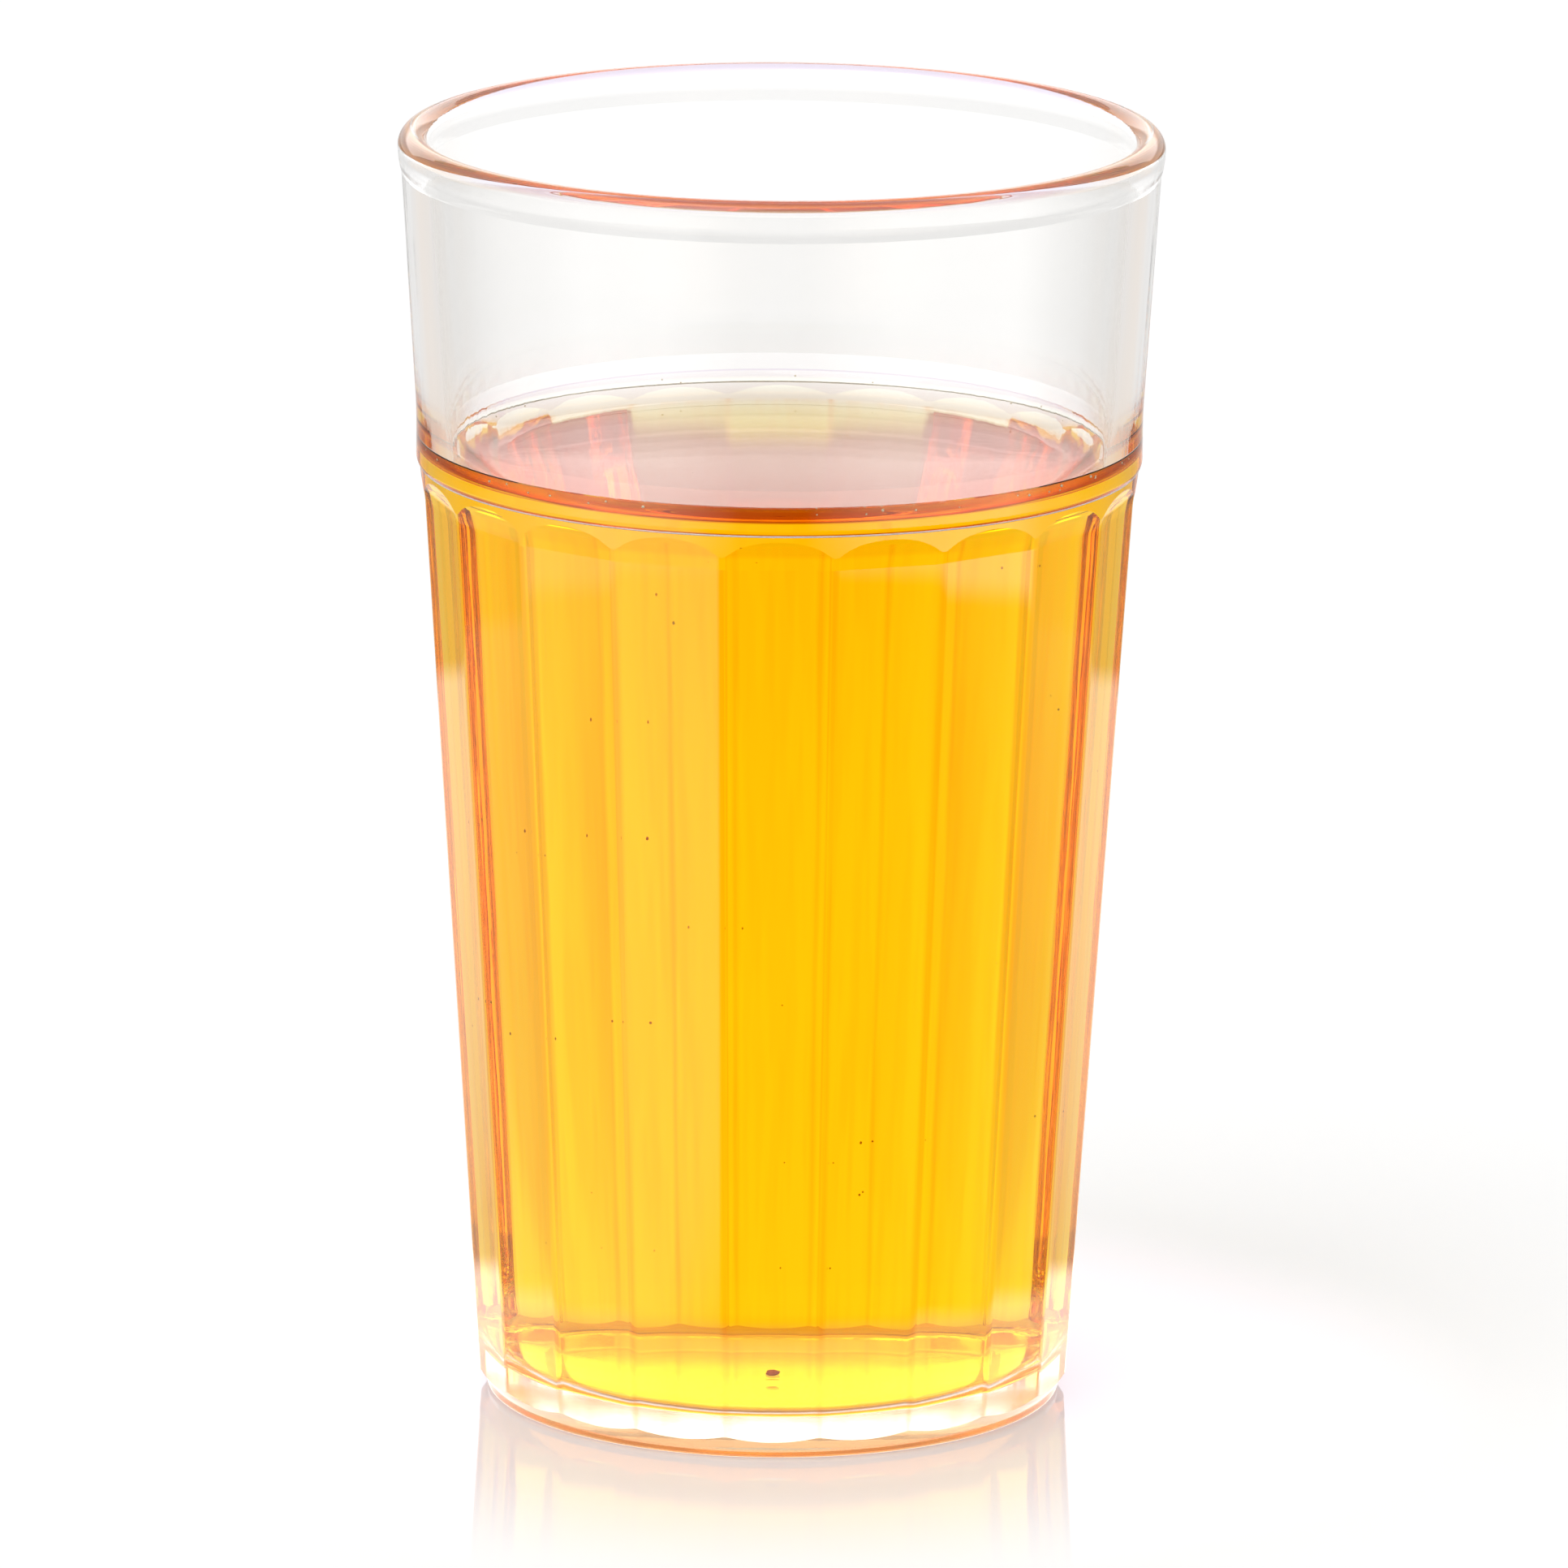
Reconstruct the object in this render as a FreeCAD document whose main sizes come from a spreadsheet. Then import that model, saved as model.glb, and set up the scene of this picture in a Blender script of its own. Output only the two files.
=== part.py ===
"""A fluted, moulded clear tumbler of apple juice.

Two pieces: the tumbler, turned as one solid and cut with a ring of flat flutes, and
the juice that fills it up to its level, with the rim of liquid that climbs the wall.
Millimetres, +Z up, origin at the centre of the face that the foot stands on. A flute
faces the front, which is -Y.
"""
import FreeCAD, Part
import os
import Sketcher

# The outlines are drawn towards +X, and a quarter turn brings that flute to the front.
FRONT_TURN = -90

# Driving sizes: (alias, value, what it is).
SIZES = [
    ("tumbler_height", 121.5, "floor to the top of the lip"),
    ("rim_radius", 36.0, "widest ring of the lip"),
    ("lip_thickness", 2.86, "wall at the lip, which is a full round"),
    ("lip_proud", 0.12, "how far the lip stands out of the outer cone's line at the top"),
    ("lip_blend_drop", 3.8, "top of the lip down to where it meets the cone"),
    ("base_radius", 28.28, "outer cone at the foot of the flutes"),
    ("flute_foot_height", 2.3, "where the outer cone starts"),
    ("foot_inset", 1.03, "how far the foot ring stands in from the cone's start"),
    ("foot_height", 0.8, "foot ring's straight side"),
    ("foot_round", 0.35, "round on the foot ring's outer edge"),
    ("foot_width", 3.15, "foot ring, from its outside to the hollow under the base"),
    ("recess_bevel", 0.5, "sloped edge of that hollow, measured along the floor"),
    ("recess_depth", 0.6, "how far the hollow stands above the floor"),
    ("gate_radius", 1.5, "moulding gate's mark under the base"),
    ("gate_height", 0.3, "how far the gate's mark stands out of the hollow"),
    ("step_height", 89.8, "inner corner of the step over the flutes"),
    ("step_round_height", 0.8, "height of the step's rounded edge"),
    ("skirt_proud", 0.07, "band's straight lower end, outside the cone's line"),
    ("skirt_height", 4.1, "step up to the top of the band's straight lower end"),
    ("skirt_blend", 1.2, "height over which that end runs into the cone"),
    ("flute_count", 20, "flat flutes round the body"),
    ("flute_gap", 0.2, "step down to the top of each flute's arch"),
    ("flute_runout", 3.0, "height of the arch at the top of a flute"),
    ("flute_bite", 0.03, "how far inside the cone two flutes meet, so that the edge is sharp"),
    ("flute_exit", 0.06, "how far outside the cone a flute's arch ends, so that it cuts free"),
    ("cutter_reach", 3.6, "how far past the lip's radius the flutes' cutter reaches"),
    ("floor_height", 3.2, "inside floor above the outside one"),
    ("base_wall", 2.88, "outer cone's start to the inner cone's line at the inside floor"),
    ("corner_radius", 5.0, "round between the inside floor and wall"),
    ("juice_level", 90.0, "flat top of the juice"),
    ("meniscus_rise", 2.2, "how far the juice climbs the wall"),
    ("meniscus_reach", 4.5, "how far from the wall the climb starts"),
]

doc = FreeCAD.newDocument("JuiceTumbler")
sheet = doc.addObject("Spreadsheet::Sheet", "Sizes")
for row, (alias, value, meaning) in enumerate(SIZES, start=1):
    sheet.set(f"A{row}", meaning)
    sheet.set(f"B{row}", str(value))
    sheet.setAlias(f"B{row}", alias)
doc.recompute()


def on_line(height, low, high):
    """Expression: radius at a height on the straight line through two (radius, height) points."""
    (low_radius, low_height), (high_radius, high_height) = low, high
    slope = f"({high_radius} - {low_radius}) / ({high_height} - {low_height})"
    return f"{low_radius} + ({height} - {low_height}) * {slope}"


# Expressions that several outlines share.
LIP_ROUND = "Sizes.lip_thickness / 2"
LIP_MIDDLE_HEIGHT = f"(Sizes.tumbler_height - {LIP_ROUND})"
OUTER_CONE = (("Sizes.base_radius", "Sizes.flute_foot_height"),
              ("(Sizes.rim_radius - Sizes.lip_proud)", "Sizes.tumbler_height"))
CAVITY_FLOOR_RADIUS = "(Sizes.base_radius - Sizes.base_wall)"
INNER_CONE = ((CAVITY_FLOOR_RADIUS, "Sizes.floor_height"),
              ("(Sizes.rim_radius - Sizes.lip_thickness)", LIP_MIDDLE_HEIGHT))
SKIRT_TOP = "(Sizes.step_height + Sizes.skirt_height)"
SKIRT_RADIUS = f"({on_line(SKIRT_TOP, *OUTER_CONE)} + Sizes.skirt_proud)"
FLUTE_TOP = "(Sizes.step_height - Sizes.flute_gap)"
FOOT_RADIUS = "(Sizes.base_radius - Sizes.foot_inset)"
HALF_FLUTE = "180 deg / Sizes.flute_count"

# The inside corner's round touches the floor and the sloping wall at the same distance
# from where their lines meet.
WALL_LEAN = (f"atan(({INNER_CONE[1][0]} - {INNER_CONE[0][0]})"
             f" / ({INNER_CONE[1][1]} - {INNER_CONE[0][1]}))")
CORNER_TANGENT = f"(Sizes.corner_radius / tan(45 deg + {WALL_LEAN} / 2))"
CORNER_ON_FLOOR = (f"{CAVITY_FLOOR_RADIUS} - {CORNER_TANGENT}", "Sizes.floor_height")
CORNER_ON_WALL = (f"{CAVITY_FLOOR_RADIUS} + {CORNER_TANGENT} * sin({WALL_LEAN})",
                  f"Sizes.floor_height + {CORNER_TANGENT} * cos({WALL_LEAN})")
CORNER_CENTRE = (f"{CAVITY_FLOOR_RADIUS} - {CORNER_TANGENT}",
                 "Sizes.floor_height + Sizes.corner_radius")


def number(expression):
    """Value of an expression on the sheet's sizes."""
    result = sheet.evalExpression(expression)
    return float(getattr(result, "Value", result))


def sagitta_radius(across, along):
    """Expression: radius of an arc that starts along one direction and drifts across it."""
    return f"((({across}) ^ 2 + ({along}) ^ 2) / (2 * ({across})))"


def plane_of(body, role):
    return next(feature for feature in body.Origin.OriginFeatures if feature.Role == role)


def pin_distance(sketch, side, edge, point, expression, label):
    """Hold a point at a distance from the origin, across (side 0) or up (side 1)."""
    if expression == "0":
        axis_line = (-2, -1)[side]
        sketch.addConstraint(Sketcher.Constraint("PointOnObject", edge, point, axis_line))
        return
    kind = ("DistanceX", "DistanceY")[side]
    row = sketch.addConstraint(
        Sketcher.Constraint(kind, -1, 1, edge, point, number(expression)))
    sketch.renameConstraint(row, label)
    sketch.setExpression(f"Constraints.{label}", expression)


def draw_outline(body, name, corners, arcs):
    """Closed sketch in the XZ plane through corners of (x, z) expressions.

    arcs maps the index of an edge's first corner to its centre as (x, z) expressions
    and whether it turns anticlockwise. Other edges are straight.
    """
    sketch = body.newObject("Sketcher::SketchObject", name)
    sketch.AttachmentSupport = [(plane_of(body, "XZ_Plane"), "")]
    sketch.MapMode = "FlatFace"
    places = [FreeCAD.Vector(number(x), number(z), 0) for x, z in corners]
    ends = []
    for index, start in enumerate(places):
        end = places[(index + 1) % len(places)]
        if index not in arcs:
            edge = sketch.addGeometry(Part.LineSegment(start, end), False)
            ends.append((edge, 1, 2))
            continue
        centre_expressions, anticlockwise = arcs[index]
        centre = FreeCAD.Vector(*(number(part) for part in centre_expressions), 0)
        first, last = (start, end) if anticlockwise else (end, start)
        circle = Part.Circle(centre, FreeCAD.Vector(0, 0, 1), centre.distanceToPoint(start))
        arc = Part.ArcOfCircle(circle, circle.parameter(first), circle.parameter(last))
        edge = sketch.addGeometry(arc, False)
        ends.append((edge, 1, 2) if anticlockwise else (edge, 2, 1))
        # The ends leave the centre free only across the chord, so one distance fixes it.
        chord = end - start
        side = 1 if abs(chord.x) > abs(chord.y) else 0
        pin_distance(sketch, side, edge, 3, centre_expressions[side], f"centre_{index}")
    for index, (x, z) in enumerate(corners):
        edge, start_point, _ = ends[index]
        previous_edge, _, previous_end = ends[index - 1]
        sketch.addConstraint(
            Sketcher.Constraint("Coincident", previous_edge, previous_end, edge, start_point))
        pin_distance(sketch, 0, edge, start_point, x, f"x_{index}")
        pin_distance(sketch, 1, edge, start_point, z, f"z_{index}")
    return sketch


def turn_about_axis(body, sketch, name):
    solid = body.newObject("PartDesign::Revolution", name)
    solid.Profile = sketch
    solid.ReferenceAxis = (sketch, ["V_Axis"])
    solid.Angle = 360
    body.Tip = solid
    return solid


def turned_tumbler(body):
    """The whole wall, base and lip in one turned outline, before the flutes are cut."""
    ledge = f"({SKIRT_RADIUS} - ({on_line('Sizes.step_height', *OUTER_CONE)}))"
    step_radius = sagitta_radius(ledge, "Sizes.step_round_height")
    step_top = "Sizes.step_height + Sizes.step_round_height"
    blend_height = "(Sizes.tumbler_height - Sizes.lip_blend_drop)"
    blend_radius = on_line(blend_height, *OUTER_CONE)
    bulge_radius = sagitta_radius(f"Sizes.rim_radius - ({blend_radius})",
                                  f"{LIP_MIDDLE_HEIGHT} - {blend_height}")
    skirt_blend_height = f"({SKIRT_TOP} + Sizes.skirt_blend)"
    recess_edge = f"{FOOT_RADIUS} - Sizes.foot_width"
    corners = [
        ("0", "Sizes.recess_depth"),
        (f"{recess_edge} - Sizes.recess_bevel", "Sizes.recess_depth"),
        (recess_edge, "0"),
        (f"{FOOT_RADIUS} - Sizes.foot_round", "0"),
        (FOOT_RADIUS, "Sizes.foot_round"),
        (FOOT_RADIUS, "Sizes.foot_height"),
        ("Sizes.base_radius", "Sizes.flute_foot_height"),
        (on_line("Sizes.step_height", *OUTER_CONE), "Sizes.step_height"),
        (SKIRT_RADIUS, step_top),
        (SKIRT_RADIUS, SKIRT_TOP),
        (on_line(skirt_blend_height, *OUTER_CONE), skirt_blend_height),
        (blend_radius, blend_height),
        ("Sizes.rim_radius", LIP_MIDDLE_HEIGHT),
        ("Sizes.rim_radius - Sizes.lip_thickness", LIP_MIDDLE_HEIGHT),
        CORNER_ON_WALL,
        CORNER_ON_FLOOR,
        ("0", "Sizes.floor_height"),
    ]
    foot_centre = (f"{FOOT_RADIUS} - Sizes.foot_round", "Sizes.foot_round")
    arcs = {
        3: (foot_centre, True),
        7: ((f"{SKIRT_RADIUS} - {step_radius}", step_top), True),
        11: ((f"Sizes.rim_radius - {bulge_radius}", LIP_MIDDLE_HEIGHT), True),
        12: ((f"Sizes.rim_radius - {LIP_ROUND}", LIP_MIDDLE_HEIGHT), True),
        14: (CORNER_CENTRE, False),
    }
    sketch = draw_outline(body, "TumblerSection", corners, arcs)
    return turn_about_axis(body, sketch, "TumblerTurned")


def cut_flutes(body):
    """One flat flute that runs out in an arch under the step, repeated round the axis."""
    cut_bottom = "0"
    arch_foot = f"({FLUTE_TOP} - Sizes.flute_runout)"
    foot_flat = f"((Sizes.base_radius - Sizes.flute_bite) * cos({HALF_FLUTE}))"
    arch_flat = (f"(({on_line(arch_foot, *OUTER_CONE)} - Sizes.flute_bite)"
                 f" * cos({HALF_FLUTE}))")
    flat_line = ((foot_flat, "Sizes.flute_foot_height"), (arch_flat, arch_foot))
    flat_at_top = on_line(FLUTE_TOP, *flat_line)
    flat_at_bottom = on_line(cut_bottom, *flat_line)
    arch_top = f"({on_line(FLUTE_TOP, *OUTER_CONE)} + Sizes.flute_exit)"
    run_out = sagitta_radius(f"{arch_top} - ({flat_at_top})", "Sizes.flute_runout")
    outside = "(Sizes.rim_radius + Sizes.cutter_reach)"
    corners = [
        (flat_at_bottom, cut_bottom),
        (outside, cut_bottom),
        (outside, FLUTE_TOP),
        (arch_top, FLUTE_TOP),
        (arch_flat, arch_foot),
    ]
    lean = f"atan(({arch_flat} - {foot_flat}) / ({arch_foot} - Sizes.flute_foot_height))"
    run_out_centre = (f"{arch_flat} + {run_out} * cos({lean})",
                      f"{arch_foot} - {run_out} * sin({lean})")
    sketch = draw_outline(body, "FluteSection", corners, {3: (run_out_centre, True)})
    flute = body.newObject("PartDesign::Pocket", "Flute")
    flute.Profile = sketch
    flute.SideType = "Symmetric"
    flute.Type = "Length"
    flute.setExpression("Length", f"2 mm * {outside} * sin({HALF_FLUTE})")
    body.Tip = flute
    doc.recompute()
    ring = body.newObject("PartDesign::PolarPattern", "Flutes")
    ring.Originals = [flute]
    ring.Axis = (plane_of(body, "Z_Axis"), [""])
    ring.Angle = 360
    ring.setExpression("Occurrences", "Sizes.flute_count")
    body.Tip = ring
    return ring


def add_gate_mark(body):
    """The small round stub that the moulding gate leaves under the base."""
    sketch = body.newObject("Sketcher::SketchObject", "GateSection")
    sketch.AttachmentSupport = [(plane_of(body, "XY_Plane"), "")]
    sketch.MapMode = "FlatFace"
    sketch.setExpression("AttachmentOffset.Base.z",
                         "(Sizes.recess_depth - Sizes.gate_height) * 1 mm")
    circle = Part.Circle(FreeCAD.Vector(0, 0, 0), FreeCAD.Vector(0, 0, 1),
                         number("Sizes.gate_radius"))
    ring = sketch.addGeometry(circle, False)
    sketch.addConstraint(Sketcher.Constraint("Coincident", ring, 3, -1, 1))
    row = sketch.addConstraint(Sketcher.Constraint("Radius", ring, circle.Radius))
    sketch.renameConstraint(row, "gate")
    sketch.setExpression("Constraints.gate", "Sizes.gate_radius")
    gate = body.newObject("PartDesign::Pad", "GateMark")
    gate.Profile = sketch
    gate.setExpression("Length", "Sizes.gate_height * 1 mm")
    body.Tip = gate
    return gate


def make_tumbler():
    body = doc.addObject("PartDesign::Body", "Tumbler")
    body.Label = "tumbler"
    turned_tumbler(body)
    doc.recompute()
    cut_flutes(body)
    doc.recompute()
    add_gate_mark(body)
    return body


def make_juice():
    """The drink: the cavity up to the level, dished where it climbs the wall."""
    contact_height = "(Sizes.juice_level + Sizes.meniscus_rise)"
    contact_radius = f"({on_line(contact_height, *INNER_CONE)})"
    flat_radius = f"({contact_radius} - Sizes.meniscus_reach)"
    dish = sagitta_radius("Sizes.meniscus_rise", "Sizes.meniscus_reach")
    corners = [
        ("0", "Sizes.floor_height"),
        CORNER_ON_FLOOR,
        CORNER_ON_WALL,
        (contact_radius, contact_height),
        (flat_radius, "Sizes.juice_level"),
        ("0", "Sizes.juice_level"),
    ]
    arcs = {
        1: (CORNER_CENTRE, True),
        3: ((flat_radius, f"Sizes.juice_level + {dish}"), False),
    }
    body = doc.addObject("PartDesign::Body", "Juice")
    body.Label = "juice"
    sketch = draw_outline(body, "JuiceSection", corners, arcs)
    turn_about_axis(body, sketch, "JuiceTurned")
    return body


subparts = [make_tumbler(), make_juice()]
for body in subparts:
    turn = FreeCAD.Rotation(FreeCAD.Vector(0, 0, 1), FRONT_TURN)
    body.Placement = FreeCAD.Placement(FreeCAD.Vector(0, 0, 0), turn)
doc.recompute()

for item in doc.Objects:
    if "Invalid" in item.State or "Error" in item.State:
        raise RuntimeError(f"{item.Name} failed: {item.State}")
for body in subparts:
    if body.Shape.isNull() or not body.Shape.isValid() or len(body.Shape.Solids) != 1:
        raise RuntimeError(f"{body.Label} is not one valid solid")

os.makedirs("parts", exist_ok=True)
for body in subparts:
    body.Shape.exportStep(f"parts/{body.Label}.step")
    box = body.Shape.optimalBoundingBox(False, False)
    print(f"{body.Label}: {body.Shape.Volume / 1000:.2f} cm3, x {box.XMin:.2f} to {box.XMax:.2f},"
          f" y {box.YMin:.2f} to {box.YMax:.2f}, z {box.ZMin:.2f} to {box.ZMax:.2f}")
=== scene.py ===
"""Looks of the glass of apple juice: a clear fluted tumbler, its juice, and a white studio.

Lengths are in millimetres until a mesh is made, which is in metres. Angles are in radians.
The tumbler stands on z = 0 round the Z axis, with a flute facing the front, -Y.
"""
import math
import random

import bmesh
import bpy
from mathutils import Matrix, Vector, noise


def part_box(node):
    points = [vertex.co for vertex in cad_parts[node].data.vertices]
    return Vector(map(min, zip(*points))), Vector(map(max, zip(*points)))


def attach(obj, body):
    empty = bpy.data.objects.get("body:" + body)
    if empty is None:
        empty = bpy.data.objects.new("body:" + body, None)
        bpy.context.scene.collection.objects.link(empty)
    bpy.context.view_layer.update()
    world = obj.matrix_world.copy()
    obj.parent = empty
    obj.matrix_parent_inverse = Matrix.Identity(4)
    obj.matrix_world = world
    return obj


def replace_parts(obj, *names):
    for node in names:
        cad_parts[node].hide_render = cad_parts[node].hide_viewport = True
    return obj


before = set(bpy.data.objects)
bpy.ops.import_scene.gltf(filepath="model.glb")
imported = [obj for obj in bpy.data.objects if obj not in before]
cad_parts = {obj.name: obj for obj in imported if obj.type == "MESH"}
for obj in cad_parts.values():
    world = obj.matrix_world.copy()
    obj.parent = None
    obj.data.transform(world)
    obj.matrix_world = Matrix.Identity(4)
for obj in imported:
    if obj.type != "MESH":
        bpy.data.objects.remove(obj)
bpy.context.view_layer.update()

MM = 0.001
BODY = "root"
SLACK = 0.01


# ---------------------------------------------------------------- sizes
def frame_top(node):
    """Greatest radius and height of a CAD node, in millimetres."""
    low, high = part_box(node)
    return max(high.x, high.y) / MM, high.z / MM


RIM_RADIUS, TUMBLER_HEIGHT = frame_top("tumbler")
_, JUICE_TOP = frame_top("juice")

LIP_THICKNESS = 2.86
LIP_RADIUS = LIP_THICKNESS / 2
LIP_MIDDLE = TUMBLER_HEIGHT - LIP_RADIUS
LIP_BLEND_HEIGHT = TUMBLER_HEIGHT - 3.8
CONE_TOP_RADIUS = RIM_RADIUS - 0.12
CONE_FOOT_RADIUS = 28.28
CONE_FOOT_HEIGHT = 2.3
CONE_SLOPE = (CONE_TOP_RADIUS - CONE_FOOT_RADIUS) / (TUMBLER_HEIGHT - CONE_FOOT_HEIGHT)

FOOT_RADIUS = CONE_FOOT_RADIUS - 1.03
FOOT_HEIGHT = 0.8
FOOT_ROUND = 0.35
CHAMFER_SLOPE = (CONE_FOOT_RADIUS - FOOT_RADIUS) / (CONE_FOOT_HEIGHT - FOOT_HEIGHT)
RECESS_EDGE = FOOT_RADIUS - 3.15
RECESS_BEVEL = 0.5
RECESS_DEPTH = 0.6
GATE_RADIUS = 1.5
GATE_HEIGHT = 0.3

STEP_HEIGHT = 89.8
STEP_ROUND_HEIGHT = 0.8
SKIRT_TOP = STEP_HEIGHT + 4.1
SKIRT_BLEND = 1.6

FLUTE_COUNT = 20
HALF_FLUTE = math.pi / FLUTE_COUNT
FRONT = -math.pi / 2
FLUTE_BITE = 0.03
EDGE_ROUND = 0.5
ARCH_TOP = STEP_HEIGHT - 0.2
ARCH_FOOT = ARCH_TOP - 3.0
ARCH_EXIT = 0.06

FLOOR_HEIGHT = 3.2
CAVITY_FLOOR_RADIUS = CONE_FOOT_RADIUS - 2.88
CORNER_RADIUS = 5.0
CAVITY_TOP_RADIUS = RIM_RADIUS - LIP_THICKNESS
CAVITY_SLOPE = (CAVITY_TOP_RADIUS - CAVITY_FLOOR_RADIUS) / (LIP_MIDDLE - FLOOR_HEIGHT)

JUICE_RISE = 2.2
JUICE_LEVEL = JUICE_TOP - JUICE_RISE
JUICE_REACH = 0.1
MENISCUS_REACH = 4.5


def cone_radius(height):
    return CONE_FOOT_RADIUS + (height - CONE_FOOT_HEIGHT) * CONE_SLOPE


def cavity_radius(height):
    return CAVITY_FLOOR_RADIUS + (height - FLOOR_HEIGHT) * CAVITY_SLOPE


SKIRT_RADIUS = cone_radius(SKIRT_TOP) + 0.07


# ---------------------------------------------------------------- outlines
# An outline is a list of stretches. A stretch is a list of (radius, height, normal) from its
# start to its end, where the next begins. It runs with the solid on its left, and a normal is
# (away from the axis, round it, up), so two stretches may meet in a sharp edge.
def line(start, end, count):
    across, along = end[0] - start[0], end[1] - start[1]
    length = math.hypot(across, along)
    normal = (along / length, 0.0, -across / length)
    return [(start[0] + across * step / count, start[1] + along * step / count, normal)
            for step in range(count + 1)]


def arc(centre, start, end, count):
    """The short way round centre."""
    first = math.atan2(start[1] - centre[1], start[0] - centre[0])
    turn = math.atan2(end[1] - centre[1], end[0] - centre[0]) - first
    turn = (turn + math.pi) % (2 * math.pi) - math.pi
    radius = math.dist(centre, start[:2])
    outside = math.copysign(1.0, turn)
    points = []
    for step in range(count + 1):
        angle = first + turn * step / count
        away, up = math.cos(angle), math.sin(angle)
        points.append((centre[0] + radius * away, centre[1] + radius * up,
                       (outside * away, 0.0, outside * up)))
    return points


def drift_arc(start, end, count):
    """Arc from start that is upright at its end."""
    across, along = end[0] - start[0], end[1] - start[1]
    radius = (across ** 2 + along ** 2) / (2 * across)
    return arc((end[0] - radius, end[1]), start, end, count)


def flute_flat(height):
    """Distance from the axis to a flute's flat, and its slope. It runs out in an arch."""
    shrink = math.cos(HALF_FLUTE)
    slope = CONE_SLOPE * shrink
    if height <= ARCH_FOOT:
        return (cone_radius(height) - FLUTE_BITE) * shrink, slope
    foot = (cone_radius(ARCH_FOOT) - FLUTE_BITE) * shrink
    lean = math.atan(slope)
    rise = ARCH_TOP - ARCH_FOOT
    drift = cone_radius(ARCH_TOP) + ARCH_EXIT - foot - rise * slope
    radius = (drift ** 2 + rise ** 2) / (2 * drift)
    middle = (foot + radius * math.cos(lean), ARCH_FOOT - radius * math.sin(lean))
    across = math.sqrt(radius ** 2 - (height - middle[1]) ** 2)
    return middle[0] - across, (height - middle[1]) / across


def flute_spread(turn):
    """Radius over the flat's distance at an angle from the flute's middle, and its normal.

    The edge between two flutes is rounded. The normal is (away, round) over how far the
    flat lies along it.
    """
    beside = HALF_FLUTE - abs(turn)
    rounding = EDGE_ROUND / CONE_FOOT_RADIUS
    if beside >= rounding:
        return 1 / math.cos(turn), (math.cos(turn), -math.sin(turn))
    bend = math.tan(rounding)
    radius = bend / (math.sin(HALF_FLUTE) * (math.cos(HALF_FLUTE) + bend * math.sin(HALF_FLUTE)))
    centre = (1 - radius) / math.cos(HALF_FLUTE)
    along = math.sqrt(radius ** 2 - (centre * math.sin(beside)) ** 2)
    spread = centre * math.cos(beside) + along
    away, sideways = along / radius, centre * math.sin(beside) / radius
    reach = spread * away
    return spread, (away / reach, -math.copysign(sideways, turn) / reach)


def flute_point(turn, height):
    """Point and normal of the fluted wall."""
    spread, (away, sideways) = flute_spread(turn)
    flat, slope = flute_flat(height)
    length = math.sqrt(away ** 2 + sideways ** 2 + slope ** 2)
    return flat * spread, height, (away / length, sideways / length, -slope / length)


def meeting_height(low, high, gap):
    """Height between low and high at which gap(height) changes sign."""
    for _ in range(40):
        middle = (low + high) / 2
        if (gap(low) > 0) == (gap(middle) > 0):
            low = middle
        else:
            high = middle
    return middle


def corner_arc(offset=0.0):
    """Inside corner from the wall down to the floor, moved into the wall by offset."""
    lean = math.atan(CAVITY_SLOPE)
    tangent = CORNER_RADIUS / math.tan(math.pi / 4 + lean / 2)
    centre = (CAVITY_FLOOR_RADIUS - tangent, FLOOR_HEIGHT + CORNER_RADIUS)
    radius = CORNER_RADIUS + offset
    on_wall = (centre[0] + radius * math.cos(lean), centre[1] - radius * math.sin(lean))
    return arc(centre, on_wall, (centre[0], centre[1] - radius), 16)


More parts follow.
